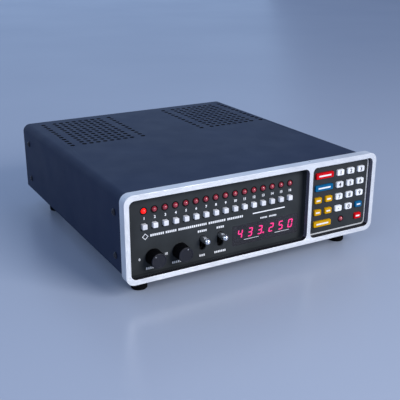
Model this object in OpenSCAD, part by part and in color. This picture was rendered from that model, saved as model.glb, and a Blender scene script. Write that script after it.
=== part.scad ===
// Desktop scanning radio receiver: a sheet-metal case on tall rubber feet, a silver front
// bezel with two openings, sixteen channel buttons with lamps, a lit readout, two knobs,
// two slide levers and a twenty-key keypad. Millimetres, +Z up, the front faces -Y, and the
// origin is on the floor under the middle of the overall box.

/* [Bezel] */
// Width of the silver front bezel
bezel_w = 270; // [264:1:290]
// Height of the silver front bezel
bezel_h = 81; // [80:1:90]
// Depth of the bezel, front to back
bezel_d = 9.8; // [9:0.1:11]
// Outer corner radius of the bezel
bezel_r = 8; // [5:0.5:9]
// Width of the bezel's border round the openings
border = 4.8; // [4.6:0.1:5.2]
// Corner radius of the openings
opening_r = 5.2; // [2:0.1:6]
// Middle of the bar between the two openings
divider_x = 55.8; // [55:0.1:57]
// Width of the bar between the two openings
divider_w = 4.2; // [4:0.1:5]
// Depth of the visible silver lip before the pocket behind it
lip_d = 4.8; // [4:0.1:5]

/* [Case] */
// Width of the painted cover
cover_w = 264.5; // [262:0.5:266]
// Height of the cover's top above the bezel's lower edge
cover_top = 77.5; // [77:0.5:79]
// Height of the cover's side edges above the bezel's lower edge
cover_bottom = 5; // [4:0.5:6]
// Length of the cover, front to back
cover_l = 284; // [280:1:300]
// Outer bend radius along the cover's top edges
bend_r = 8; // [6:0.5:10]
// Sheet thickness of the case
sheet = 1; // [0.8:0.1:1.2]

/* [Vents] */
// Diameter of one vent hole
vent_d = 5.2; // [3:0.1:5.6]
// Rows of vent holes in each group
vent_rows = 12; // [4:1:12]
// Columns in the middle block of each group
vent_cols = 8; // [4:2:8]
// Spacing of the vent columns
vent_dx = 7.7; // [7:0.1:8]
// Spacing of the vent rows
vent_dy = 8.8; // [8:0.1:9]
// Spacing from the block to the lone column on each side of it
vent_gap = 13; // [12:0.1:14]
// Distance from the middle of the pair of groups to the middle of each one
vent_x = 76.3; // [70:0.1:80]
// How far the pair of groups sits to the right of the cover's middle line
vent_shift = 3.3; // [0:0.1:4]
// Distance from the front row of vents to the cover's rear edge
vent_back = 112.3; // [100:0.1:115]

/* [Feet] */
// Height of the bezel's lower edge above the floor
foot_gap = 16.3; // [12:0.1:20]
// Diameter of a rubber foot
foot_d = 15; // [12:0.5:18]
// Distance of the feet from the middle line
foot_x = 112.3; // [100:0.1:115]

/* [Channel row] */
// Spacing of the channel buttons and lamps
channel_pitch = 10.07; // [10:0.01:10.2]
// Width and height of one channel button
button_w = 4.9; // [4.6:0.1:5.2]
// How far a channel button travels when pushed
button_travel = 1.5; // [1:0.1:1.5]

/* [Knobs and levers] */
// Diameter of a knob where it meets the panel
knob_d = 15; // [13:0.1:16]
// How far a knob stands out of the panel
knob_l = 12.2; // [10:0.1:14]
// Diameter of a slide lever
lever_d = 6.2; // [5.5:0.1:6.2]
// How far a slide lever travels
lever_travel = 8; // [6:0.5:8]

/* [Keypad] */
// Spacing of the keypad columns
key_dx = 12.75; // [12.5:0.05:12.8]
// Spacing of the keypad rows
key_dz = 12.3; // [12:0.05:12.4]
// Width of a single key
key_w = 8.6; // [8.2:0.1:9]
// Height of a key
key_h = 6.2; // [5.8:0.1:6.6]
// How far a key travels when pushed
key_travel = 1.2; // [0.8:0.1:1.2]

/* [Hidden] */
$fn = 64;
// Depths below are from the bezel's front face and heights from its lower edge
cover_y = bezel_d;
cover_end = cover_y + cover_l;
panel_y = 9.3;
knob_gap = 0.3;
knob_front = panel_y - knob_gap - knob_l;
back_y = cover_end - 3.6;
socket_l = 5.6;
socket_end = back_y + sheet + socket_l;
face_y = -(knob_front + socket_end) / 2;
panel_t = 2;
panel_back = panel_y + panel_t;
plate_y = 4.9;
plate_back = plate_y + 2;
wall = 1.5;
open_z = [border, bezel_h - border];
left_x = [-bezel_w / 2 + border - 0.2, divider_x - divider_w / 2];
right_x = [divider_x + divider_w / 2, bezel_w / 2 - border + 0.4];
slip = 0.1;
floor_z = cover_bottom + 0.2;
floor_top = floor_z + sheet;
board_t = 1.6;
control_y = 20;
keyboard_y = 12;
row_x = [for (i = [0:15]) -113.4 + channel_pitch * i];
lamp_z = 62.3;
button_z = 48.2;
button_front = 6.5;
button_slack = 0.6;
lamp_d = 5;
key_front = 3.1;
key_slack = 0.25;
knob_z = 19;
knob_x = [-105.5, -79.3];
shaft_d = 6;
lever_x = [-56.1, -37.7];
slot_w = lever_d + 0.6;
slot_z = [14, 28.8];
lever_z = slot_z[1] - lever_d / 2 - 0.3;
window_x = [-25, 49];
window_z = [10.8, 30.4];
digit_dx = 11.2;
digit_x = -15.1;
key_x0 = 68.4;
key_z0 = 65.4;
key_lamp = [98.5, 16.5];
control_bosses = [[-124, 12.5], [-124, 70], [50, 38], [50, 70]];
key_bosses = [[62, 9.6], [126.5, 9.6], [62, 72.8], [127.3, 71.5]];
tab_x = [-66, 10];
tab_z = 9.4;
flange_x = [-60, 60];
flange_y = back_y - 6;
board_x = [-30, 122];
board_y = [46, 214];
board_z = 12;
standoffs = [for (x = [board_x[0] + 5, board_x[1] - 5], y = [board_y[0] + 5, board_y[1] - 5]) [x, y]];
foot_y = [25.7, 253];
screw_y = [28.8, 275.5];
screw_z = [18, 58.5];
speaker_at = [-80, 130];
antenna_at = [100, 58];
phone_at = [[66, 58], [46, 58]];
gland_at = [-100, 24];

singles = [
    ["key_1", 2, 0], ["key_2", 3, 0], ["key_3", 4, 0],
    ["key_4", 2, 1], ["key_5", 3, 1], ["key_6", 4, 1],
    ["key_7", 2, 2], ["key_8", 3, 2], ["key_9", 4, 2],
    ["key_point", 2, 3], ["key_0", 3, 3], ["key_clear", 4, 3], ["key_enter", 4, 4],
    ["key_up", 0, 2], ["key_down", 1, 2], ["key_reset", 0, 3], ["key_limit", 1, 3]
];
wides = [["key_scan", 0.5, 0], ["key_program", 0.5, 1], ["key_monitor", 0.5, 4]];
white = "whitesmoke";
yellow = "goldenrod";
key_colors = [
    ["key_clear", "steelblue"], ["key_enter", "crimson"], ["key_up", yellow], ["key_down", yellow],
    ["key_reset", yellow], ["key_limit", yellow], ["key_scan", "crimson"],
    ["key_program", "steelblue"], ["key_monitor", yellow]
];

// ---- helpers ----

// Moves to the bezel's own frame: x across, y back from its face, z up from its lower edge
module at_face() translate([0, face_y, foot_gap]) children();

module round_rect(x, z, r) {
    translate([x[0] + r, z[0]]) square([x[1] - x[0] - 2 * r, z[1] - z[0]]);
    translate([x[0], z[0] + r]) square([x[1] - x[0], z[1] - z[0] - 2 * r]);
    for (cx = [x[0] + r, x[1] - r], cz = [z[0] + r, z[1] - r]) translate([cx, cz]) circle(r);
}

// Upright plate from depth y0 back to y1
module upright(y0, y1) translate([0, y1, 0]) rotate([90, 0, 0]) linear_extrude(y1 - y0) children();

module slab(x, z, y0, y1, r) upright(y0, y1) round_rect(x, z, r);

module block(x, y, z) translate([x[0], y[0], z[0]]) cube([x[1] - x[0], y[1] - y[0], z[1] - z[0]]);

// Round bar that runs back from depth y0 to y1
module bar(at, y0, y1, d) translate([at[0], y1, at[1]]) rotate([90, 0, 0]) cylinder(h = y1 - y0, d = d);

// Button or key: a cap in front, a flange that keeps it behind its plate, and a stem
module plunger(at, w, h, r, front, back, lip, stem_d, stem_end, stem_x) {
    x = [at[0] - w / 2, at[0] + w / 2];
    z = [at[1] - h / 2, at[1] + h / 2];
    slab(x, z, front, back + slip, r);
    slab([x[0] - lip, x[1] + lip], [z[0] - lip, z[1] + lip], back + slip, back + slip + 1, r);
    for (dx = stem_x) bar([at[0] + dx, at[1]], back + slip + 1, stem_end, stem_d);
}

// Pan-head machine screw along +Z: its head below 0, its shank above
module m3(len) {
    difference() {
        translate([0, 0, -2]) cylinder(h = 2, d = 5.8);
        for (a = [0, 90]) rotate(a) translate([-1.8, -0.4, -2.1]) cube([3.6, 0.8, 1.1]);
    }
    cylinder(h = len, d = 2.9);
}

function key_at(k) = [key_x0 + key_dx * k[1], key_z0 - key_dz * k[2]];
function width_of(k) = k[1] == 0.5 ? key_dx + key_w : key_w;
function grow(v, d) = [v[0] - d, v[1] + d];
function color_of(name) = let (hit = [for (c = key_colors) if (c[0] == name) c[1]])
    len(hit) > 0 ? hit[0] : white;

// ---- front ----

module front_bezel() color("silver") at_face() difference() {
    slab([-bezel_w / 2, bezel_w / 2], [0, bezel_h], 0, bezel_d, bezel_r);
    for (x = [left_x, right_x]) {
        slab(x, open_z, -1, bezel_d + 1, opening_r);
        slab(grow(x, wall), grow(open_z, wall), lip_d, bezel_d + 1, opening_r + wall);
    }
}

module front_panel() color([0.13, 0.13, 0.14]) at_face() difference() {
    union() {
        slab(grow(left_x, wall - slip), grow(open_z, wall - slip), lip_d, bezel_d, opening_r + wall - slip);
        slab([left_x[0] - 0.2, left_x[1] + 0.6], [7, open_z[1] - 0.4], bezel_d - 0.1, panel_back,
             bend_r - sheet);
        for (b = control_bosses) bar(b, panel_back - 0.5, control_y, 7);
    }
    slab(left_x, open_z, 0, panel_y, opening_r);
    for (x = row_x) {
        bar([x, lamp_z], 0, panel_back + 1, lamp_d + 0.2);
        slab(grow([x - button_w / 2, x + button_w / 2], button_slack),
             grow([button_z - button_w / 2, button_z + button_w / 2], button_slack), 0, panel_back + 1, 0.8);
    }
    for (x = knob_x) bar([x, knob_z], 0, panel_back + 1, 7.4);
    for (x = lever_x) slab([x - slot_w / 2, x + slot_w / 2], slot_z, 0, panel_back + 1, slot_w / 2 - 0.05);
    slab(window_x, window_z, 0, panel_back + 1, 1);
    for (b = control_bosses) bar(b, 13, control_y + 1, 3);
    for (x = tab_x) bar([x, tab_z], panel_y + 0.5, panel_back + 1, 3);
}

module keypad_plate() color([0.12, 0.12, 0.13]) at_face() difference() {
    union() {
        difference() {
            slab(grow(right_x, wall - slip), grow(open_z, wall - slip), plate_y, bezel_d - slip,
                 opening_r + wall - slip);
            slab(right_x, open_z, plate_back, bezel_d + 1, opening_r);
        }
        for (b = key_bosses) bar(b, plate_back - 0.5, keyboard_y, 5);
    }
    for (k = concat(singles, wides)) {
        at = key_at(k);
        slab(grow([at[0] - width_of(k) / 2, at[0] + width_of(k) / 2], key_slack),
             grow([at[1] - key_h / 2, at[1] + key_h / 2], key_slack), 0, plate_back + 0.01, 1.3);
    }
    bar(key_lamp, 0, plate_back + 1, lamp_d + 0.2);
    for (b = key_bosses) bar(b, plate_back + 1, keyboard_y + 1, 3);
}

module display_window() color([0.25, 0.08, 0.1, 0.5]) at_face()
    slab(grow(window_x, -slip), grow(window_z, -slip), panel_y, panel_back - slip, 0.9);

module display_modules() color([0.1, 0.1, 0.11]) at_face()
    for (i = [0:5]) {
        x = digit_x + digit_dx * i;
        block([x - 5.3, x + 5.3], [panel_back + 0.8, control_y], [13.2, 29.2]);
    }

module lamp(at, back, board) {
    translate([at[0], back - 1.5, at[1]]) sphere(d = lamp_d);
    bar(at, back - 1.5, board, lamp_d);
    bar(at, back + slip, back + slip + 1, lamp_d + 0.8);
}

module indicator_lamps() color([0.6, 0.08, 0.1]) at_face() {
    for (x = row_x) lamp([x, lamp_z], panel_back, control_y);
    lamp(key_lamp, plate_back, keyboard_y);
}

module channel_button(i) color(white) at_face()
    plunger([row_x[i], button_z], button_w, button_w, 0.7, button_front, panel_back, 1.2, 3, 15.6, [0]);

module keypad_key(k) color(color_of(k[0])) at_face()
    plunger(key_at(k), width_of(k), key_h, 1.2, key_front, plate_back, 1, 4, 10.1,
            k[1] == 0.5 ? [-6, 6] : [0]);

module knob(i) color([0.1, 0.1, 0.11]) at_face() {
    translate([knob_x[i], panel_y - knob_gap, knob_z]) rotate([90, 0, 0]) {
        rotate_extrude() polygon([[0, 0], [knob_d / 2, 0], [knob_d / 2 - 0.4, knob_l - 0.7],
                                  [knob_d / 2 - 1.1, knob_l], [0, knob_l]]);
        translate([0, 0, -10]) cylinder(h = 10.5, d = shaft_d);
    }
}

module lever(i) color("gainsboro") at_face() translate([lever_x[i], 0, lever_z]) {
    translate([0, 1, 0]) sphere(d = lever_d);
    bar([0, 0], 1, 13, lever_d);
    bar([0, 0], 12.5, 17.5, 3);
}

// ---- case ----

module cover_outline(t) {
    r = bend_r - t;
    half = cover_w / 2 - t;
    top = cover_top - t;
    translate([-half, cover_bottom - t]) square([2 * half, top - r - cover_bottom + t]);
    translate([-half + r, top - r - 1]) square([2 * (half - r), r + 1]);
    for (s = [-1, 1]) translate([s * (half - r), top - r]) circle(r);
}

module top_cover() color([0.16, 0.18, 0.24]) at_face() difference() {
    upright(cover_y, cover_end) difference() {
        cover_outline(0);
        cover_outline(sheet);
    }
    for (side = [-1, 1], row = [0:vent_rows - 1]) {
        y = cover_end - vent_back + vent_dy * row;
        block_half = vent_dx * (vent_cols - 1) / 2;
        for (x = concat([for (c = [0:vent_cols - 1]) -block_half + vent_dx * c],
                        [-block_half - vent_gap, block_half + vent_gap]))
            translate([side * vent_x + vent_shift + x, y, cover_top - 2 * sheet])
                cylinder(h = 4 * sheet, d = vent_d);
    }
    for (y = screw_y, z = screw_z) translate([-cover_w, y, z]) rotate([0, 90, 0])
        cylinder(h = 2 * cover_w, d = 3.4);
}

module chassis_tray() color([0.6, 0.61, 0.63]) at_face() {
    half = cover_w / 2 - sheet - 0.15;
    difference() {
        union() {
            block([-half, half], [bezel_d + 0.1, cover_end - 0.2], [floor_z, floor_top]);
            for (x = [[-half, -half + sheet], [half - sheet, half]]) {
                block(x, [14, 289], [floor_z, 15]);
                for (y = screw_y) block(x, [y - 9, y + 9], [floor_z, screw_z[1] + 7]);
            }
            block([-118, 44], [panel_back + slip, panel_back + slip + sheet], [floor_z, 10.2]);
            for (x = tab_x)
                block([x - 4, x + 4], [panel_back + slip, panel_back + slip + sheet], [10, tab_z + 3.2]);
            for (s = standoffs) translate([s[0], s[1], floor_top - 0.5])
                cylinder(h = board_z - floor_top + 0.5, d = 6.4);
        }
        for (s = standoffs) translate([s[0], s[1], floor_top + 1]) cylinder(h = board_z, d = 3);
        for (y = screw_y, z = screw_z) translate([-cover_w, y, z]) rotate([0, 90, 0])
            cylinder(h = 2 * cover_w, d = 3);
        for (x = [-foot_x, foot_x], y = foot_y) translate([x, y, 0]) cylinder(h = 12, d = 3.2);
        for (x = flange_x) translate([x, flange_y, 0]) cylinder(h = 12, d = 3.2);
        for (x = tab_x) bar([x, tab_z], panel_back - 1, panel_back + 3, 3.2);
        translate([speaker_at[0], speaker_at[1], 0]) {
            cylinder(h = 12, d = 4);
            for (ring = [1:3], a = [60 / ring:60 / ring:360]) rotate(a) translate([8 * ring, 0, 0])
                cylinder(h = 12, d = 4);
        }
    }
}

module rear_panel() color([0.2, 0.21, 0.24]) at_face() difference() {
    half = cover_w / 2 - sheet - 0.3;
    inner_top = cover_top - sheet - 0.2;
    union() {
        upright(back_y, back_y + sheet) {
            r = bend_r - sheet;
            translate([-half, floor_top + 0.1]) square([2 * half, inner_top - floor_top - 0.1 - r]);
            translate([-half + r, floor_top + 1]) square([2 * (half - r), inner_top - floor_top - 1]);
            for (s = [-1, 1]) translate([s * (half - r), inner_top - r]) circle(r);
        }
        block([-112, 112], [back_y - 12, back_y + 0.1], [floor_top + 0.1, floor_top + 0.1 + sheet]);
    }
    bar(antenna_at, back_y - 1, back_y + 2, 13.2);
    for (p = phone_at) bar(p, back_y - 1, back_y + 2, 6.2);
    bar(gland_at, back_y - 1, back_y + 2, 12.2);
    for (x = flange_x) translate([x, flange_y, 0]) cylinder(h = 12, d = 3.2);
}

module rear_jacks() at_face() {
    out = back_y + sheet;
    color("silver") difference() {
        union() {
            bar(antenna_at, back_y - 11, out + socket_l, 13);
            bar(antenna_at, out, out + 1.5, 19);
        }
        bar(antenna_at, out - 3.4, out + 6, 9.5);
        bar(antenna_at, out - 10, out - 3, 3.4);
    }
    for (p = phone_at) color([0.15, 0.15, 0.15]) difference() {
        union() {
            block([p[0] - 5, p[0] + 5], [back_y - 12, back_y], [p[1] - 5.5, p[1] + 5.5]);
            bar(p, back_y - 0.1, out + 3.2, 6);
            translate([p[0], out + 1.9, p[1]]) rotate([90, 0, 0]) cylinder(h = 1.9, d = 9.6, $fn = 6);
        }
        bar(p, back_y - 9, out + 4, 3.6);
    }
    color([0.1, 0.1, 0.1]) difference() {
        union() {
            bar(gland_at, back_y - 4, out + 0.1, 12);
            bar(gland_at, out, out + 1.8, 16);
        }
        bar(gland_at, back_y - 5, out + 2, 7.2);
    }
}

module feet() color([0.08, 0.08, 0.08]) at_face() for (x = [-foot_x, foot_x], y = foot_y) {
    edge = 1.2;
    translate([x, y, -foot_gap]) difference() {
        union() {
            translate([0, 0, edge]) cylinder(h = foot_gap + floor_z - edge, d = foot_d);
            cylinder(h = edge + 0.1, d = foot_d - 2 * edge);
            translate([0, 0, edge]) rotate_extrude() translate([foot_d / 2 - edge, 0])
                circle(edge, $fn = 32);
        }
        translate([0, 0, -1]) cylinder(h = foot_gap - 3, d = 7);
        translate([0, 0, -1]) cylinder(h = foot_gap + 20, d = 3.4);
    }
}

module cover_screws() color("silver") at_face()
    for (side = [-1, 1], y = screw_y, z = screw_z) translate([side * cover_w / 2, y, z])
        rotate([0, side * 90, 0]) {
            difference() {
                intersection() {
                    translate([0, 0, -2.2]) sphere(4.2);
                    cylinder(h = 3, d = 6.4);
                }
                for (a = [0, 90]) rotate(a) translate([-2, -0.4, 1]) cube([4, 0.8, 2]);
            }
            translate([0, 0, -6]) cylinder(h = 6.1, d = 2.9);
        }

module machine_screws() color("silver") at_face() {
    for (x = [-foot_x, foot_x], y = foot_y) translate([x, y, -4]) {
        m3(13.5);
        difference() {
            translate([0, 0, floor_top + 4]) cylinder(h = 2.2, d = 6.2, $fn = 6);
            translate([0, 0, floor_top]) cylinder(h = 8, d = 2.9);
        }
    }
    for (s = standoffs) translate([s[0], s[1], board_z + board_t]) rotate([180, 0, 0]) m3(6);
    for (b = control_bosses) translate([b[0], control_y + board_t, b[1]]) rotate([90, 0, 0]) m3(7);
    for (b = key_bosses) translate([b[0], keyboard_y + board_t, b[1]]) rotate([90, 0, 0]) m3(5);
    for (x = flange_x) translate([x, flange_y, floor_z]) m3(5);
    for (x = tab_x) translate([x, panel_back + slip + sheet, tab_z]) rotate([90, 0, 0]) m3(2.6);
}

// ---- insides ----

module main_board() color([0.2, 0.35, 0.2]) at_face() difference() {
    block(board_x, board_y, [board_z, board_z + board_t]);
    for (s = standoffs) translate([s[0], s[1], 0]) cylinder(h = 20, d = 3.2);
}

module board_parts() at_face() {
    top = board_z + board_t;
    color([0.1, 0.1, 0.1]) for (x = [-5, 25, 55, 85], y = [75, 105])
        block([x, x + 20], [y, y + 7], [top, top + 4]);
    color("silver") for (i = [0:6]) block([-20 + 14 * i, -11 + 14 * i], [140, 149], [top, top + 13]);
    color("silver") block([90, 112], [132, 160], [top, top + 16]);
    color([0.15, 0.2, 0.35]) for (x = [0, 22, 44]) translate([x, 180, top]) cylinder(h = 25, d = 16);
}

module control_board() color([0.2, 0.35, 0.2]) at_face() difference() {
    block([-128, 54], [control_y, control_y + board_t], [8, 74]);
    for (b = control_bosses) bar(b, control_y - 1, control_y + 3, 3.2);
}

module control_switches() color([0.25, 0.25, 0.27]) at_face() {
    for (x = knob_x) difference() {
        union() {
            bar([x, knob_z], panel_y + 0.1, panel_back + 1, 7);
            bar([x, knob_z], panel_back + slip, control_y, 16);
        }
        bar([x, knob_z], 0, control_y - 0.4, shaft_d + 0.1);
    }
    for (x = lever_x) difference() {
        block([x - 6, x + 6], [14.5, control_y], [10.4, 32.4]);
        slab([x - 1.8, x + 1.8], [slot_z[0] + 1, slot_z[1] - 1], 14, 18.3, 1.7);
    }
    for (x = row_x) block([x - 3.4, x + 3.4], [17.4, control_y], [button_z - 3.4, button_z + 3.4]);
}

module keypad_board() color([0.2, 0.35, 0.2]) at_face() difference() {
    union() {
        slab([59, 129.5], [6.8, 75.6], keyboard_y, keyboard_y + board_t, 4);
        for (k = concat(singles, wides)) bar(key_at(k), keyboard_y - 0.6, keyboard_y + 0.1, 6);
    }
    for (b = key_bosses) bar(b, keyboard_y - 1, keyboard_y + 3, 3.2);
}

module power_transformer() at_face() translate([68, 248, floor_top]) {
    color([0.35, 0.36, 0.38]) block([-24, 24], [-12, 12], [1.5, 41.5]);
    color([0.35, 0.36, 0.38]) block([-32, 32], [-12, 12], [0, 1.5]);
    color([0.75, 0.55, 0.25]) for (y = [[-20, -12], [12, 20]]) block([-15, 15], y, [9, 34]);
}

module speaker() color([0.3, 0.3, 0.32]) at_face() translate([speaker_at[0], speaker_at[1], floor_top]) {
    rotate_extrude() polygon([[33, 0], [39, 0], [39, 1.5], [34, 1.5], [20, 14], [20, 16], [10, 16],
                              [10, 14.5], [18.5, 14.5], [18.5, 13.2], [33, 0.8]]);
    translate([0, 0, 16]) cylinder(h = 9, d = 38);
}

front_bezel();
front_panel();
keypad_plate();
display_window();
display_modules();
indicator_lamps();
top_cover();
chassis_tray();
rear_panel();
rear_jacks();
feet();
cover_screws();
machine_screws();
main_board();
board_parts();
control_board();
control_switches();
keypad_board();
power_transformer();
speaker();
knob(0);  // volume_knob
knob(1);  // squelch_knob
lever(0);  // delay_lever
lever(1);  // scan_lever
for (i = [0:15]) channel_button(i);
for (k = concat(singles, wides)) keypad_key(k);
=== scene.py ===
import math

import bmesh
import bpy
from mathutils import Matrix, Vector


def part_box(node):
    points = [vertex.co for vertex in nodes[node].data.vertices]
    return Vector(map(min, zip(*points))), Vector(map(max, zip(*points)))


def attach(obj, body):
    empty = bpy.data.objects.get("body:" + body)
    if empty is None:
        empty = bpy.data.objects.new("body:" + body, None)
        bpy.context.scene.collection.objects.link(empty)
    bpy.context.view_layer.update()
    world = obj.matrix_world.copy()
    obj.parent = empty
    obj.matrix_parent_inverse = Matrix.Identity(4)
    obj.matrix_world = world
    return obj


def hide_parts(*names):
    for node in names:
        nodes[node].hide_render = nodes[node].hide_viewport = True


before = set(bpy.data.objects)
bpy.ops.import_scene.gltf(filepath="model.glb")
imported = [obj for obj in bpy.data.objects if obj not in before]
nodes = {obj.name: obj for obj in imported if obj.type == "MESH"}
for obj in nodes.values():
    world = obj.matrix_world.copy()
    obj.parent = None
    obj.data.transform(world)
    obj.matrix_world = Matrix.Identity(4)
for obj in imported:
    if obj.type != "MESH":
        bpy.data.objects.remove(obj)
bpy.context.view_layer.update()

mm = 0.001

# places come from the frame: the bezel's face and lower edge, and the faces of both panels
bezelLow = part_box("front_bezel")[0]
faceY = bezelLow.y
lowZ = bezelLow.z
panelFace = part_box("display_window")[0].y
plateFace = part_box("keypad_plate")[0].y


def at(x, y, z):
    # millimetres across, back from the bezel's face and up from its lower edge
    return Vector((x * mm, faceY + y * mm, lowZ + z * mm))


def middleOf(node):
    low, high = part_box(node)
    return (low + high) / 2


# materials

def newMaterial(name, color, rough, metal=0.0, coat=0.0, specular=0.5):
    mat = bpy.data.materials.new(name)
    mat.use_nodes = True
    mat.diffuse_color = (*color, 1)
    shader = mat.node_tree.nodes["Principled BSDF"]
    shader.inputs["Base Color"].default_value = (*color, 1)
    shader.inputs["Roughness"].default_value = rough
    shader.inputs["Metallic"].default_value = metal
    shader.inputs["Coat Weight"].default_value = coat
    shader.inputs["Coat Roughness"].default_value = 0.2
    shader.inputs["Specular IOR Level"].default_value = specular
    return mat


def patternOf(mat, kind, scale, stretch=(1, 1, 1), **settings):
    # a noise, voronoi or wave texture on the piece's own coordinates
    tree = mat.node_tree
    coords = tree.nodes.new("ShaderNodeTexCoord")
    mapping = tree.nodes.new("ShaderNodeMapping")
    mapping.inputs["Scale"].default_value = stretch
    tree.links.new(coords.outputs["Object"], mapping.inputs["Vector"])
    texture = tree.nodes.new("ShaderNodeTex" + kind)
    texture.inputs["Scale"].default_value = scale
    for key, value in settings.items():
        texture.inputs[key].default_value = value
    tree.links.new(mapping.outputs["Vector"], texture.inputs["Vector"])
    return texture.outputs["Distance" if kind == "Voronoi" else "Fac"]


def spread(mat, value, low, high, start=0.3, end=0.7):
    # maps start..end of a pattern onto low..high
    tree = mat.node_tree
    node = tree.nodes.new("ShaderNodeMapRange")
    node.inputs["From Min"].default_value = start
    node.inputs["From Max"].default_value = end
    node.inputs["To Min"].default_value = low
    node.inputs["To Max"].default_value = high
    tree.links.new(value, node.inputs["Value"])
    return node.outputs["Result"]


def varyColor(mat, value, darker, lighter):
    tree = mat.node_tree
    mix = tree.nodes.new("ShaderNodeMix")
    mix.data_type = "RGBA"
    mix.inputs["A"].default_value = (*darker, 1)
    mix.inputs["B"].default_value = (*lighter, 1)
    tree.links.new(value, mix.inputs["Factor"])
    shader = tree.nodes["Principled BSDF"]
    tree.links.new(mix.outputs["Result"], shader.inputs["Base Color"])


def varyRough(mat, value):
    mat.node_tree.links.new(value, mat.node_tree.nodes["Principled BSDF"].inputs["Roughness"])


def bump(mat, value, depth, strength=0.5):
    # adds a bump on top of the ones already there; depth in metres
    tree = mat.node_tree
    shader = tree.nodes["Principled BSDF"]
    node = tree.nodes.new("ShaderNodeBump")
    node.inputs["Distance"].default_value = depth
    node.inputs["Strength"].default_value = strength
    tree.links.new(value, node.inputs["Height"])
    if shader.inputs["Normal"].is_linked:
        tree.links.new(shader.inputs["Normal"].links[0].from_socket, node.inputs["Normal"])
    tree.links.new(node.outputs["Normal"], shader.inputs["Normal"])


def scaled(color, factor):
    return tuple(c * factor for c in color)


def plasticMaterial(name, color, rough=0.4, grain=900, depth=0.00002, coat=0.0, shine=0.4):
    # moulded plastic: fine spark grain, faint clouding and uneven gloss
    mat = newMaterial(name, color, rough, coat=coat, specular=shine)
    cloud = patternOf(mat, "Noise", 60, Detail=4)
    varyColor(mat, spread(mat, cloud, 0, 1), scaled(color, 0.86), scaled(color, 1.1))
    varyRough(mat, spread(mat, patternOf(mat, "Noise", 220, Detail=5), rough - 0.08, rough + 0.1))
    bump(mat, patternOf(mat, "Noise", grain, Detail=2), depth)
    return mat


def silverMaterial(name, color, rough):
    # die cast and satin plated: fine grain, soft handling marks
    mat = newMaterial(name, color, rough, metal=0.45)
    cloud = patternOf(mat, "Noise", 35, Detail=5)
    varyColor(mat, spread(mat, cloud, 0, 1), scaled(color, 0.9), scaled(color, 1.04))
    smears = patternOf(mat, "Noise", 90, (1, 1, 3), Detail=6)
    varyRough(mat, spread(mat, smears, rough - 0.07, rough + 0.12))
    bump(mat, patternOf(mat, "Noise", 2600, Detail=2), 0.00001, 0.35)
    return mat


def brushedMaterial(name, color, rough, along=(1, 1, 1)):
    # bare or plated metal; the brush lines run across the stretched axis
    mat = newMaterial(name, color, rough, metal=1.0)
    lines = patternOf(mat, "Noise", 60, along, Detail=6)
    varyColor(mat, spread(mat, lines, 0, 1), scaled(color, 0.82), scaled(color, 1.06))
    varyRough(mat, spread(mat, lines, rough - 0.06, rough + 0.12))
    bump(mat, lines, 0.00002, 0.3)
    return mat


def paintMaterial(name, color, rough):
    # stoved vinyl-look paint: close pebble texture, dust in the hollows and dull patches
    mat = newMaterial(name, color, rough, specular=0.2)
    dust = patternOf(mat, "Noise", 14, Detail=6)
    varyColor(mat, spread(mat, dust, 0, 1, 0.35, 0.75), color, scaled(color, 1.15))
    varyRough(mat, spread(mat, patternOf(mat, "Noise", 40, Detail=5), rough - 0.02, rough + 0.04))
    pebble = patternOf(mat, "Voronoi", 1500)
    bump(mat, pebble, 0.00006, 0.32)
    bump(mat, patternOf(mat, "Noise", 500, Detail=3), 0.00005, 0.25)
    return mat


def rubberMaterial(name, color):
    mat = newMaterial(name, color, 0.8, specular=0.05)
    bloom = patternOf(mat, "Noise", 120, Detail=6)
    varyColor(mat, spread(mat, bloom, 0, 1), color, scaled(color, 1.6))
    bump(mat, patternOf(mat, "Noise", 1800, Detail=3), 0.00004)
    return mat


def boardMaterial(name, color):
    # solder mask over copper tracks
    mat = newMaterial(name, color, 0.35, coat=0.3)
    tracks = patternOf(mat, "Voronoi", 260)
    varyColor(mat, spread(mat, tracks, 0, 1, 0.2, 0.5), scaled(color, 0.7), scaled(color, 1.4))
    bump(mat, tracks, 0.00003)
    return mat


def glowMaterial(name, color, glow, strength):
    # lit plastic, a little uneven
    mat = newMaterial(name, color, 0.3)
    shader = mat.node_tree.nodes["Principled BSDF"]
    shader.inputs["Emission Color"].default_value = (*glow, 1)
    shader.inputs["Emission Strength"].default_value = strength
    flicker = patternOf(mat, "Noise", 500, Detail=2)
    varyColor(mat, spread(mat, flicker, 0, 1), scaled(color, 0.9), color)
    return mat


def smokedMaterial(name, color, alpha):
    # tinted window that lets the lit digits through and hides what is behind them
    mat = newMaterial(name, color, 0.28, specular=0.1)
    mat.node_tree.nodes["Principled BSDF"].inputs["Alpha"].default_value = alpha
    mat.use_transparent_shadow = False
    varyRough(mat, spread(mat, patternOf(mat, "Noise", 160, Detail=5), 0.24, 0.32))
    varyColor(mat, spread(mat, patternOf(mat, "Noise", 40, Detail=3), 0, 1), color, scaled(color, 1.2))
    return mat


silver = silverMaterial("satinSilver", (0.73, 0.75, 0.79), 0.34)
insideDark = plasticMaterial("insideDark", (0.1, 0.1, 0.14), 0.4)
# a near-black copy of the inside plastic: painted shade for the upper and lower walls of the openings
insidePaintedShade = plasticMaterial("insidePaintedShade", (0.012, 0.012, 0.016), 0.6, shine=0.1)
trimSilver = silverMaterial("trimSilver", (0.86, 0.87, 0.9), 0.25)
coverPaint = paintMaterial("coverPaint", (0.004, 0.012, 0.042), 0.48)
# near-black for the walls of the vent holes: painted shade in the holes
ventPaintedShade = paintMaterial("ventPaintedShade", (0.002, 0.002, 0.003), 0.85)
rearPaint = paintMaterial("rearPaint", (0.02, 0.022, 0.028), 0.5)
panelBlack = plasticMaterial("panelBlack", (0.03, 0.034, 0.038), 0.55, 700, 0.00006, shine=0.1)
knobBlack = plasticMaterial("knobBlack", (0.009, 0.01, 0.017), 0.4, 1200, shine=0.25)
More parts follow.
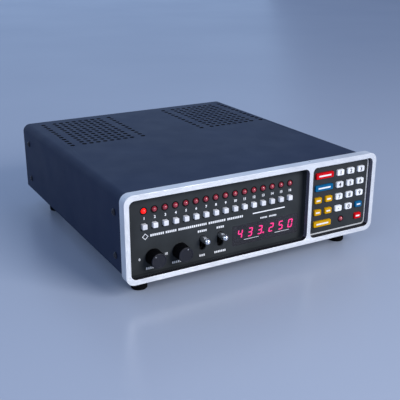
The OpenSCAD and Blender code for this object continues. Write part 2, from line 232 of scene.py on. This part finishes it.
# a deeper black: the lamp rims, and painted shade on the fluted sides of the knobs
deepBlack = plasticMaterial("deepBlack", (0.002, 0.002, 0.003), 0.5, 1200, shine=0.12)
capWhite = plasticMaterial("capWhite", (0.78, 0.8, 0.85), 0.38, coat=0.1)
buttonWhite = plasticMaterial("buttonWhite", (0.7, 0.71, 0.76), 0.42)
capYellow = plasticMaterial("capYellow", (0.57, 0.3, 0.0005), 0.5, shine=0.1)
capBlue = plasticMaterial("capBlue", (0.001, 0.105, 0.25), 0.5, shine=0.1)
capRed = plasticMaterial("capRed", (0.56, 0.001, 0.006), 0.5, shine=0.1)
printWhite = plasticMaterial("printWhite", (0.8, 0.81, 0.84), 0.6)
printGrey = plasticMaterial("printGrey", (0.3, 0.31, 0.34), 0.6)
printDark = plasticMaterial("printDark", (0.02, 0.02, 0.028), 0.6)
rubber = rubberMaterial("footRubber", (0.003, 0.003, 0.0035))
darkPlastic = plasticMaterial("darkPlastic", (0.006, 0.006, 0.007), 0.55, shine=0.15)
plated = brushedMaterial("platedSteel", (0.55, 0.56, 0.58), 0.38, (1, 30, 1))
screwSteel = brushedMaterial("screwSteel", (0.5, 0.51, 0.54), 0.32)
screwBlack = brushedMaterial("screwBlack", (0.07, 0.07, 0.08), 0.3)
chrome = brushedMaterial("leverChrome", (0.86, 0.87, 0.9), 0.14)
boardGreen = boardMaterial("boardGreen", (0.02, 0.09, 0.04))
coreSteel = paintMaterial("coreSteel", (0.06, 0.06, 0.065), 0.5)
partGrey = brushedMaterial("partGrey", (0.4, 0.41, 0.45), 0.4, (1, 1, 30))
redLens = plasticMaterial("redLens", (0.34, 0.03, 0.05), 0.16, coat=0.8)
litLens = glowMaterial("litLens", (0.9, 0.01, 0.01), (1.0, 0.012, 0.008), 0.9)
digitGlow = glowMaterial("digitGlow", (0.9, 0.01, 0.1), (1.0, 0.028, 0.27), 15.0)
moduleBlack = plasticMaterial("moduleBlack", (0.003, 0.002, 0.003), 0.7)
smoked = smokedMaterial("smokedWindow", (0.036, 0.036, 0.044), 0.72)
print("materials ready")

# modelling helpers


def deselectAll():
    if bpy.context.object and bpy.context.object.mode != "OBJECT":
        bpy.ops.object.mode_set(mode="OBJECT")
    bpy.ops.object.select_all(action="DESELECT")


def pick(piece):
    deselectAll()
    piece.select_set(True)
    bpy.context.view_layer.objects.active = piece
    return piece


def settle(piece):
    # the place goes into the mesh, and the object stays at the origin
    pick(piece)
    bpy.ops.object.transform_apply(location=True, rotation=True, scale=True)
    return piece


def selectFaces(piece, wanted):
    bpy.ops.object.mode_set(mode="EDIT")
    bpy.ops.mesh.select_mode(type="FACE")
    bpy.ops.mesh.select_all(action="DESELECT")
    shape = bmesh.from_edit_mesh(piece.data)
    for face in shape.faces:
        if wanted(face.calc_center_median(), face.normal):
            face.select_set(True)
    bmesh.update_edit_mesh(piece.data)


def selectEdges(piece, wanted):
    bpy.ops.object.mode_set(mode="EDIT")
    bpy.ops.mesh.select_mode(type="EDGE")
    bpy.ops.mesh.select_all(action="DESELECT")
    shape = bmesh.from_edit_mesh(piece.data)
    for edge in shape.edges:
        if wanted(edge.verts[0].co, edge.verts[1].co):
            edge.select_set(True)
    bmesh.update_edit_mesh(piece.data)


def objectMode():
    bpy.ops.object.mode_set(mode="OBJECT")


def smooth(piece, degrees=35):
    pick(piece)
    bpy.ops.object.shade_smooth_by_angle(angle=math.radians(degrees))
    return piece


def addBox(name, low, high):
    deselectAll()
    bpy.ops.mesh.primitive_cube_add(size=1, location=(low + high) / 2)
    piece = bpy.context.object
    piece.name = name
    piece.scale = high - low
    return settle(piece)


def applyBevel(piece, width, segments=3, degrees=35):
    pick(piece)
    mod = piece.modifiers.new("softEdges", "BEVEL")
    mod.width = width
    mod.segments = segments
    mod.limit_method = "ANGLE"
    mod.angle_limit = math.radians(degrees)
    mod.harden_normals = False
    bpy.ops.object.modifier_apply(modifier=mod.name)
    return piece


def copyPiece(piece, name, shift=(0, 0, 0)):
    twin = piece.copy()
    twin.data = piece.data.copy()
    twin.name = name
    twin.data.name = name
    bpy.context.scene.collection.objects.link(twin)
    twin.data.transform(Matrix.Translation(shift))
    return twin


def joinPieces(pieces, name):
    deselectAll()
    for piece in pieces:
        piece.select_set(True)
    bpy.context.view_layer.objects.active = pieces[0]
    bpy.ops.object.join()
    pieces[0].name = name
    return pieces[0]


def paint(piece, material):
    piece.data.materials.clear()
    piece.data.materials.append(material)
    return piece


def softCopy(node, name, width=0, segments=2, degrees=35, shade=35):
    # a copy of a CAD solid, welded, and given small round edges where a width is asked for
    piece = copyPiece(nodes[node], name)
    piece.parent = None
    for key in list(piece.keys()):
        del piece[key]
    pick(piece)
    bpy.ops.object.mode_set(mode="EDIT")
    bpy.ops.mesh.select_all(action="SELECT")
    bpy.ops.mesh.remove_doubles(threshold=0.000002)
    bpy.ops.mesh.dissolve_limited(angle_limit=math.radians(1))
    objectMode()
    if width:
        applyBevel(piece, width, segments, degrees)
    return smooth(piece, shade)


def addText(words, size, middle, name="numeral", bold=0.03, thick=0.00003):
    # upright lettering that faces the user, made a mesh with its place applied
    deselectAll()
    bpy.ops.object.text_add(location=middle, rotation=(math.pi / 2, 0, 0))
    piece = bpy.context.object
    piece.name = name
    piece.data.body = words
    piece.data.size = size
    piece.data.align_x = "CENTER"
    piece.data.align_y = "CENTER"
    piece.data.extrude = thick
    # a bevel fattens the strokes, and is then pressed nearly flat
    piece.data.bevel_depth = size * bold
    piece.data.bevel_resolution = 1
    bpy.ops.object.convert(target="MESH")
    settle(piece)
    for vert in piece.data.vertices:
        vert.co.y = middle[1] + (vert.co.y - middle[1]) * 0.15
    return piece


def addBar(low, high, y, thick=0.05, name="bar"):
    # a printed rule: low and high are (x, z) in millimetres
    return addBox(name, at(low[0], y - thick, low[1]), at(high[0], y, high[1]))


# case

# edge: width of the round edges; insideX, insideLow, insideHigh: the part that the openings take up
bezelLook = {"edge": 0.8 * mm, "segments": 2, "insideX": 132 * mm, "insideLow": 4, "insideHigh": 77}
bezel = softCopy("front_bezel", "bezel", bezelLook["edge"], bezelLook["segments"], 50, 25)
insideLow = at(0, 0, bezelLook["insideLow"]).z
insideHigh = at(0, 0, bezelLook["insideHigh"]).z
paint(bezel, silver)
bezel.data.materials.append(insideDark)
bezel.data.materials.append(insidePaintedShade)
for face in bezel.data.polygons:
    # the walls of both openings are dark plastic, the front and the outer sides silver; the upper and lower
    # walls get a near-black copy of it, a painted shade
    within = abs(face.center.x) < bezelLook["insideX"] and insideLow < face.center.z < insideHigh
    if within and abs(face.normal.y) < 0.3:
        face.material_index = 2 if abs(face.normal.z) > 0.5 else 1
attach(bezel, "case")
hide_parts("front_bezel")

# the vent holes lie within halfWide and halfLong, and their walls end within sheet of the top
coverLook = {"halfWide": 122 * mm, "halfLong": 138 * mm, "sheet": 1.1 * mm, "skin": 0.1 * mm}
cover = softCopy("top_cover", "cover", shade=40)
paint(cover, coverPaint)
cover.data.materials.append(ventPaintedShade)
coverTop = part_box("top_cover")[1].z
for face in cover.data.polygons:
    # the walls of the vent holes get a near-black finish, a painted shade in the holes
    upright = abs(face.normal.z) < 0.2
    inSheet = coverLook["skin"] < coverTop - face.center.z < coverLook["sheet"]
    amongVents = abs(face.center.x) < coverLook["halfWide"] and abs(face.center.y) < coverLook["halfLong"]
    if upright and inSheet and amongVents:
        face.material_index = 1
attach(cover, "case")
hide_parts("top_cover")
print("case ready")

# plain CAD parts and their finishes

finishes = {
    "front_panel": panelBlack, "keypad_plate": panelBlack, "display_window": smoked,
    "display_modules": moduleBlack, "chassis_tray": plated, "rear_panel": rearPaint,
    "machine_screws": screwSteel, "main_board": boardGreen,
    "board_parts": partGrey, "control_board": boardGreen, "control_switches": darkPlastic,
    "keypad_board": boardGreen, "power_transformer": coreSteel, "speaker": partGrey,
}
for node, material in finishes.items():
    paint(nodes[node], material)

# round parts, smoothed
roundParts = {
    "feet": ("foot", rubber, "foot_rubber"),
    "cover_screws": ("coverScrew", screwBlack, "screw_steel"),
    "rear_jacks": ("rearJacks", darkPlastic, "dark_plastic"),
}
for node, (name, material, slot) in roundParts.items():
    piece = softCopy(node, name)
    paint(piece, material)
    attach(piece, "case")
    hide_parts(node)

# the antenna socket is metal, the small jacks and the bushing plastic
jacks = bpy.data.objects["rearJacks"]
jacks.data.materials.append(plated)
jackLook = {"metalFrom": 83 * mm}
for face in jacks.data.polygons:
    if face.center.x > jackLook["metalFrom"]:
        face.material_index = 1

# keys and buttons

# lip: the CAD part's flange behind the panel, which the cap leaves out; sizes in millimetres
keyLook = {"kind": "key", "lip": 1.0, "deep": 4.0, "corner": 1.3, "rim": 0.55, "draft": 0.93,
           "dish": 0.16, "dishEdge": 0.42, "dishRing": 0.1}
buttonLook = {"kind": "button", "lip": 1.2, "deep": 5.5, "corner": 0.7, "rim": 0.6, "draft": 0.95,
              "dish": 0}


def makeCap(name, node, look):
    # a moulded cap, its front face shrunk by the draft, dished, with round rims
    low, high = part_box(node)
    deep = look["deep"] * mm
    lip = look["lip"] * mm
    low = Vector((low.x + lip, low.y, low.z + lip))
    high = Vector((high.x - lip, low.y + deep, high.z - lip))
    piece = addBox(name, low, high)
    selectEdges(piece, lambda a, b: abs(a.y - b.y) > 0.5 * deep)
    bpy.ops.mesh.bevel(offset=look["corner"] * mm, segments=6, affect="EDGES")
    selectFaces(piece, lambda c, n: n.y < -0.9)
    center = Vector(((low.x + high.x) / 2, low.y, (low.z + high.z) / 2))
    wide = high.x - low.x
    tall = high.z - low.z
    narrow = (1 - look["draft"]) * tall
    bpy.ops.transform.resize(value=((wide - narrow) / wide, 1, look["draft"]), center_override=center)
    bpy.ops.mesh.bevel(offset=look["rim"] * mm, segments=4, affect="EDGES")
    objectMode()
    if look["dish"]:
        selectFaces(piece, lambda c, n: n.y < -0.99)
        bpy.ops.mesh.inset(thickness=look["dishEdge"] * mm)
        bpy.ops.transform.translate(value=(0, look["dish"] * mm, 0))
        # a narrow ring keeps the shading of the flat middle even
        bpy.ops.mesh.inset(thickness=look["dishRing"] * mm)
        objectMode()
    return smooth(piece, 60)


keyColors = {
    "key_scan": (capRed, "cap_red"), "key_enter": (capRed, "cap_red"),
    "key_program": (capBlue, "cap_blue"), "key_clear": (capBlue, "cap_blue"),
    "key_up": (capYellow, "cap_yellow"), "key_down": (capYellow, "cap_yellow"),
    "key_reset": (capYellow, "cap_yellow"), "key_limit": (capYellow, "cap_yellow"),
    "key_monitor": (capYellow, "cap_yellow"),
}
keyNodes = sorted(n for n in nodes if n.startswith("key_"))
buttonNodes = ["channel_button_%d" % i for i in range(1, 17)]
patterns = {}


def placeCap(node, name, look, material):
    # a copy of the cap of that kind and width, which is modelled the first time it is asked for
    low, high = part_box(node)
    kind = (look["kind"], round((high.x - low.x) / mm))
    if kind not in patterns:
        patterns[kind] = (makeCap("pattern", node, look), middleOf(node))
    piece, home = patterns[kind]
    piece = copyPiece(piece, name, middleOf(node) - home)
    paint(piece, material)
    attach(piece, node)
    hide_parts(node)
    return piece


for node in keyNodes:
    material, slot = keyColors.get(node, (capWhite, "cap_white"))
    placeCap(node, node.replace("key_", "keyCap."), keyLook, material)
for node in buttonNodes:
    placeCap(node, node.replace("channel_button_", "channelCap."), buttonLook,
             buttonWhite)
for piece, home in patterns.values():
    bpy.data.objects.remove(piece)
print("keys and buttons ready")

# legends on the keys: numerals on the white ones, plain bars on the others
legendLook = {"size": 5.6 * mm, "bold": 0.04, "bar": 1.5, "single": 4.6, "wide": 14.5, "sink": 0.03,
              "wideKey": 15 * mm, "pointRise": 1.2 * mm}
for node in keyNodes:
    low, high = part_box(node)
    center = middleOf(node)
    sink = legendLook["sink"] * mm
    top = low.y + keyLook["dish"] * mm - sink
    word = {"key_point": "."}.get(node, node[4:] if node[4:].isdigit() else "")
    if word:
        rise = legendLook["pointRise"] if word == "." else 0
        piece = addText(word, legendLook["size"], (center.x, top, center.z + rise),
                        "keyNumeral." + node[4:], legendLook["bold"])
        paint(piece, printDark)
    else:
        length = legendLook["wide" if high.x - low.x > legendLook["wideKey"] else "single"]
        reach = Vector((length / 2 * mm, sink, legendLook["bar"] / 2 * mm))
        middle = Vector((center.x, top, center.z))
        piece = addBox("keyBar." + node[4:], middle - reach, middle + reach)
        paint(piece, printWhite)
    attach(piece, node)

# pinstripe round the keypad: a thin bright ring on the plate, inset from the opening (left to right,
# and low to high)
stripeLook = {"across": (57.9, 130.6), "up": (4.8, 76.2), "inset": 0.9, "wide": 1.35, "corner": 4.4,
              "thick": 0.12}


def makeStripe():
    left, right = stripeLook["across"]
    bottom, top = stripeLook["up"]
    low, high = at(left, 0, bottom), at(right, 0, top)
    middle = (low + high) / 2
    inset = stripeLook["inset"] * mm
    deselectAll()
    bpy.ops.mesh.primitive_plane_add(size=1, location=(middle.x, plateFace, middle.z),
                                     rotation=(math.pi / 2, 0, 0))
    piece = bpy.context.object
    piece.name = "keypadStripe"
    piece.scale = (high.x - low.x - 2 * inset, high.z - low.z - 2 * inset, 1)
    settle(piece)
    bpy.ops.object.mode_set(mode="EDIT")
    bpy.ops.mesh.select_all(action="SELECT")
    bpy.ops.mesh.bevel(offset=stripeLook["corner"] * mm, segments=8, affect="VERTICES")
    bpy.ops.mesh.select_all(action="SELECT")
    bpy.ops.mesh.inset(thickness=stripeLook["wide"] * mm)
    bpy.ops.mesh.delete(type="FACE")
    objectMode()
    mod = piece.modifiers.new("thick", "SOLIDIFY")
    mod.thickness = stripeLook["thick"] * mm
    mod.offset = 1
    bpy.ops.object.modifier_apply(modifier=mod.name)
    return piece


stripe = paint(makeStripe(), trimSilver)
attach(stripe, "case")

# knobs and levers

# millimetres, and the angles of the pointer lines in degrees clockwise from the top
knobLook = {"deep": 12.2, "draft": 0.945, "rim": 0.5, "faceRim": 0.7, "faceStep": 0.3, "faceDish": 0.25,
            "flutes": 60, "fluteEdge": 0.12, "fluteDeep": 0.22, "pointerWide": 0.7, "pointerFrom": 4.6,
            "pointerEnd": 1.1, "volume": -35, "squelch": 20}


def makeKnob(node, name, turn):
    low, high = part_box(node)
    radius = (high.x - low.x) / 2
    deep = knobLook["deep"] * mm
    center = Vector(((low.x + high.x) / 2, low.y + deep / 2, (low.z + high.z) / 2))
    deselectAll()
    bpy.ops.mesh.primitive_cylinder_add(vertices=knobLook["flutes"] * 2, radius=radius, depth=deep,
                                        location=center, rotation=(math.pi / 2, 0, 0))
    piece = settle(bpy.context.object)
    piece.name = name
    # draft towards the front, then a raised rim and a dished face
    selectFaces(piece, lambda c, n: n.y < -0.9)
    front = Vector((center.x, low.y, center.z))
    bpy.ops.transform.resize(value=(knobLook["draft"], 1, knobLook["draft"]), center_override=front)
    bpy.ops.mesh.bevel(offset=knobLook["rim"] * mm, segments=3, affect="EDGES")
    selectFaces(piece, lambda c, n: n.y < -0.99)
    bpy.ops.mesh.inset(thickness=knobLook["faceRim"] * mm)
    bpy.ops.mesh.inset(thickness=knobLook["faceStep"] * mm)
    bpy.ops.transform.translate(value=(0, knobLook["faceDish"] * mm, 0))
    # flutes: every other side face pushed in a little
    step = math.pi / knobLook["flutes"]

    def isFlute(c, n):
        angle = math.atan2(c.z - center.z, c.x - center.x)
        return abs(n.y) < 0.3 and math.floor(angle / step) % 2 == 0

    selectFaces(piece, isFlute)
    bpy.ops.mesh.inset(thickness=knobLook["fluteEdge"] * mm, use_individual=True)
    bpy.ops.transform.shrink_fatten(value=-knobLook["fluteDeep"] * mm)
    objectMode()
    smooth(piece, 30)
    # pointer line across the face
    half = knobLook["pointerWide"] / 2 * mm
    inner = center.z + knobLook["pointerFrom"] * mm
    outer = center.z + radius - knobLook["pointerEnd"] * mm
    line = addBox(name + "Line", Vector((center.x - half, low.y + 0.02 * mm, inner)),
                  Vector((center.x + half, low.y + 0.4 * mm, outer)))
    selectFaces(line, lambda c, n: True)
    bpy.ops.transform.rotate(value=-math.radians(turn), orient_axis="Y", center_override=front)
    objectMode()
    paint(piece, knobBlack)
    piece.data.materials.append(deepBlack)
    for face in piece.data.polygons:
        # the fluted side gets a deeper black than the front, a painted shade on the side
        if abs(face.normal.y) < 0.5:
            face.material_index = 1
    paint(line, printGrey)
    for part in (piece, line):
        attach(part, node)
    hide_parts(node)


makeKnob("volume_knob", "volumeKnob", knobLook["volume"])
makeKnob("squelch_knob", "squelchKnob", knobLook["squelch"])

for node, name in (("delay_lever", "delayLever"), ("scan_lever", "scanLever")):
    piece = paint(softCopy(node, name), chrome)
    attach(piece, node)
    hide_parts(node)
print("knobs and levers ready")

# lamps

lampLook = {"radius": 2.5, "barrel": 1.5, "proud": 0.5, "rimInner": 2.55, "rimOuter": 3.45, "flange": 2.9,
            "keyLamp": (98.5, 16.5)}
channelX = [middleOf(node).x / mm for node in buttonNodes]
lampZ = (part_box("indicator_lamps")[1].z - lowZ) / mm - lampLook["flange"]


def makeLamp(name, middle):
    # a round-ended lens: half a ball on a short barrel
    deselectAll()
    bpy.ops.mesh.primitive_uv_sphere_add(segments=32, ring_count=16, radius=lampLook["radius"] * mm,
                                         location=middle)
    piece = settle(bpy.context.object)
    piece.name = name
    selectFaces(piece, lambda c, n: c.y > middle.y)
    bpy.ops.transform.translate(value=(0, lampLook["barrel"] * mm, 0))
    objectMode()
    return smooth(piece, 60)


def makeRim(x, y, z):
    # the raised black rim round a lamp, pressed into its panel
    deselectAll()
    wide = lampLook["rimOuter"] - lampLook["rimInner"]
    bpy.ops.mesh.primitive_torus_add(major_radius=(lampLook["rimInner"] + wide / 2) * mm,
                                     minor_radius=wide / 2 * mm, major_segments=32, minor_segments=8,
                                     location=at(x, y, z), rotation=(math.pi / 2, 0, 0))
    return smooth(settle(bpy.context.object), 60)


panelY = (panelFace - faceY) / mm
plateY = (plateFace - faceY) / mm
lenses = [makeLamp("lens", at(x, panelY + lampLook["proud"], lampZ)) for x in channelX]
litLamp = lenses.pop(0)
litLamp.name = "lampLit"
channelLamps = joinPieces(lenses, "channelLamps")
keyLampX, keyLampZ = lampLook["keyLamp"]
keyLamp = makeLamp("keyLamp", at(keyLampX, plateY + lampLook["proud"], keyLampZ))
rims = [makeRim(x, panelY, lampZ) for x in channelX] + [makeRim(keyLampX, plateY, keyLampZ)]
lampRims = paint(joinPieces(rims, "lampRims"), deepBlack)
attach(lampRims, "case")
for piece, material in ((litLamp, litLens), (channelLamps, redLens), (keyLamp, redLens)):
    paint(piece, material)
    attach(piece, "case")
    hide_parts("indicator_lamps")
print("lamps ready")

# readout

digitLook = {"tall": 8.7, "wide": 5.1, "stroke": 1.1, "thick": 0.25, "break": 0.2, "slant": 9,
             "pitch": 11, "first": -14.7, "gap": 1.8, "z": 20.25,
             "point": 11.1, "pointZ": 16.8, "pointRadius": 0.8, "pointThick": 0.3}
# which of the seven strokes each digit lights: a to f run clockwise from the top, g is the middle
segmentSets = {"0": "abcdef", "2": "abged", "3": "abgcd", "4": "fgbc", "5": "afgcd"}
digitY = (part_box("display_modules")[0].y - faceY) / mm


def makeStroke(cx, cz, length, upright):
    # a bar with pointed ends, lying across or standing up
    half = digitLook["stroke"] / 2
    piece = addBox("stroke", at(cx - length / 2, digitY - digitLook["thick"], cz - half),
                   at(cx + length / 2, digitY, cz + half))
    selectFaces(piece, lambda c, n: abs(n.x) > 0.9)
    bpy.ops.mesh.subdivide(number_cuts=1)
    bpy.ops.mesh.select_all(action="DESELECT")
    shape = bmesh.from_edit_mesh(piece.data)
    middle = at(cx, 0, cz)
    for vert in shape.verts:
        atMid = abs(vert.co.z - middle.z) < 0.01 * mm
        if atMid and abs(vert.co.x - middle.x) > 0.4 * length * mm:
            vert.co.x += math.copysign(half * mm, vert.co.x - middle.x)
    bmesh.update_edit_mesh(piece.data)
    if upright:
        bpy.ops.mesh.select_all(action="SELECT")
        bpy.ops.transform.rotate(value=math.pi / 2, orient_axis="Y", center_override=at(cx, digitY, cz))
    objectMode()
    return piece


def makeDigit(char, index):
    # two groups of three, a little apart
    cx = digitLook["first"] + digitLook["pitch"] * index + digitLook["gap"] * (index // 3)
    cz = digitLook["z"]
    halfW = (digitLook["wide"] - digitLook["stroke"]) / 2
    halfH = (digitLook["tall"] - digitLook["stroke"]) / 2
    across = 2 * halfW - digitLook["stroke"] - digitLook["break"]
    up = halfH - digitLook["stroke"] + 0.1
    rise = halfH / 2 + 0.15
    places = {
        "a": (0, halfH, across, False), "g": (0, 0, across, False), "d": (0, -halfH, across, False),
        "b": (halfW, rise, up, True), "c": (halfW, -rise, up, True),
        "e": (-halfW, -rise, up, True), "f": (-halfW, rise, up, True),
    }
    parts = [makeStroke(cx + places[s][0], cz + places[s][1], places[s][2], places[s][3])
             for s in segmentSets[char]]
    digit = joinPieces(parts, "digit.%d" % (index + 1))
    # lean the whole digit to the right
    lean = math.tan(math.radians(digitLook["slant"]))
    base = at(0, 0, cz).z
    for vert in digit.data.vertices:
        vert.co.x += lean * (vert.co.z - base)
    return digit


readout = [makeDigit(char, i) for i, char in enumerate("433250")]
deselectAll()
pointAt = at(digitLook["point"], digitY - digitLook["pointThick"] / 2, digitLook["pointZ"])
bpy.ops.mesh.primitive_cylinder_add(vertices=24, radius=digitLook["pointRadius"] * mm,
                                    depth=digitLook["pointThick"] * mm, location=pointAt,
                                    rotation=(math.pi / 2, 0, 0))
point = settle(bpy.context.object)
point.name = "digitPoint"
for piece in readout + [point]:
    paint(piece, digitGlow)
    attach(piece, "case")
print("readout ready")

# print on the panels

# sizes and places in millimetres: numerals, blocks that stand for letters, rules and a diamond
printLook = {"numeral": 3.3, "numeralZ": 55.3, "numeralShift": 0.4, "bold": 0.04, "dial": 3.2,
             "letter": 0.62, "pitch": 1.5, "fill": 0.68, "sign": (-112.4, 38.6), "signSize": 2.6,
             "signStroke": 0.35}
dialNumbers = (("0", -118.4, 18.3), ("10", -92.8, 18.5))
prints = []
for i, x in enumerate(channelX):
    prints.append(addText(str(i + 1), printLook["numeral"] * mm,
                          at(x + printLook["numeralShift"], panelY, printLook["numeralZ"]),
                          bold=printLook["bold"]))


def blockWord(x0, x1, z, tall):
    # a word as a row of plain blocks, one for each letter
    wide = printLook["letter"] * tall
    count = max(1, round((x1 - x0) / (wide * printLook["pitch"])))
    step = (x1 - x0) / count
    for i in range(count):
        left = x0 + step * i
        prints.append(addBar((left, z - tall / 2), (left + step * printLook["fill"], z + tall / 2), panelY))


# rows of blocks: the row's height, the height of its letters, and where each word begins and ends
wordRows = [
    (38.9, 2.1, [(-107.6, -94), (-92.9, -81.9), (-80.5, -51.5), (-50, -32), (-30.4, -13.3)]),
    (33.2, 1.6, [(5.6, 13.5), (15.5, 23.9)]), (8.6, 2.1, [(-112.4, -98.6), (-87, -71.8)]),
    (32.9, 2.0, [(-61.1, -51.5), (-41.7, -33.5)]), (9.2, 2.0, [(-59.5, -53.3), (-43.8, -31.5)]),
]
for z, tall, spans in wordRows:
    for x0, x1 in spans:
        blockWord(x0, x1, z, tall)
# plain rules over and under the readout: left, right, height, half the width
rules = ((-3, 33, 39.25, 0.55), (-12.1, 4.3, 15.2, 0.2), (22.3, 38.9, 15.4, 0.2))
for x0, x1, z, half in rules:
    prints.append(addBar((x0, z - half), (x1, z + half), panelY))
# a plain diamond, pressed nearly flat
deselectAll()
signX, signZ = printLook["sign"]
bpy.ops.mesh.primitive_torus_add(major_radius=printLook["signSize"] * mm,
                                 minor_radius=printLook["signStroke"] * mm, major_segments=4,
                                 minor_segments=8, location=at(signX, panelY - 0.02, signZ),
                                 rotation=(math.pi / 2, 0, 0))
sign = settle(bpy.context.object)
for vert in sign.data.vertices:
    vert.co.y = panelFace + (vert.co.y - panelFace) * 0.1
prints.append(sign)
for word, x, z in dialNumbers:
    prints.append(addText(word, printLook["dial"] * mm, at(x, panelY, z)))
panelPrint = paint(joinPieces(prints, "panelPrint"), printWhite)
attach(panelPrint, "case")
print("print ready")

# floor, light and camera

floorLook = {"size": 30, "color": (0.38, 0.43, 0.54), "rough": 0.28, "roughest": 0.33, "specular": 0.3}
deselectAll()
bpy.ops.mesh.primitive_plane_add(size=floorLook["size"], location=(0, 0, 0))
floor = bpy.context.object
floor.name = "floor"
floorPaint = newMaterial("floorPaint", floorLook["color"], floorLook["rough"],
                         specular=floorLook["specular"])
sweep = patternOf(floorPaint, "Noise", 3, Detail=3)
varyRough(floorPaint, spread(floorPaint, sweep, floorLook["rough"], floorLook["roughest"]))
paint(floor, floorPaint)

world = bpy.data.worlds.new("studio")
bpy.context.scene.world = world
world.use_nodes = True
worldLook = {"color": (0.46, 0.59, 0.9, 1), "strength": 0.45}
background = world.node_tree.nodes["Background"]
background.inputs["Color"].default_value = worldLook["color"]
background.inputs["Strength"].default_value = worldLook["strength"]

lights = {
    "key": {"place": (0.5, -1.5, 0.8), "size": 0.8, "power": 28, "color": (1, 0.99, 0.98)},
    "fill": {"place": (-1.3, -0.9, 0.9), "size": 1.0, "power": 6.5, "color": (0.72, 0.84, 1)},
    "back": {"place": (0, 2.6, 1.6), "size": 5, "power": 34, "color": (0.5, 0.7, 1)},
}
for name, look in lights.items():
    data = bpy.data.lights.new(name + "Light", "AREA")
    data.energy = look["power"]
    data.size = look["size"]
    data.color = look["color"]
    lamp = bpy.data.objects.new(name + "Light", data)
    lamp.location = look["place"]
    lamp.rotation_euler = (Vector((0, 0, 0.05)) - lamp.location).to_track_quat("-Z", "Y").to_euler()
    bpy.context.scene.collection.objects.link(lamp)

# place and target in millimetres, measured as at() does
cameraLook = {"place": (-346.93, -504.47, 276.44), "target": (-64.07, 0, 66.39), "lens": 64.4}
camera = bpy.data.objects.new("camera", bpy.data.cameras.new("camera"))
camera.data.lens = cameraLook["lens"]
camera.data.sensor_width = 36
camera.data.clip_start = 0.01
# plain colours, as the materials state them
bpy.context.scene.view_settings.view_transform = "Standard"
camera.location = at(*cameraLook["place"])
camera.rotation_euler = (at(*cameraLook["target"]) - camera.location).to_track_quat("-Z", "Y").to_euler()
bpy.context.scene.collection.objects.link(camera)
bpy.context.scene.camera = camera
print("stage ready")
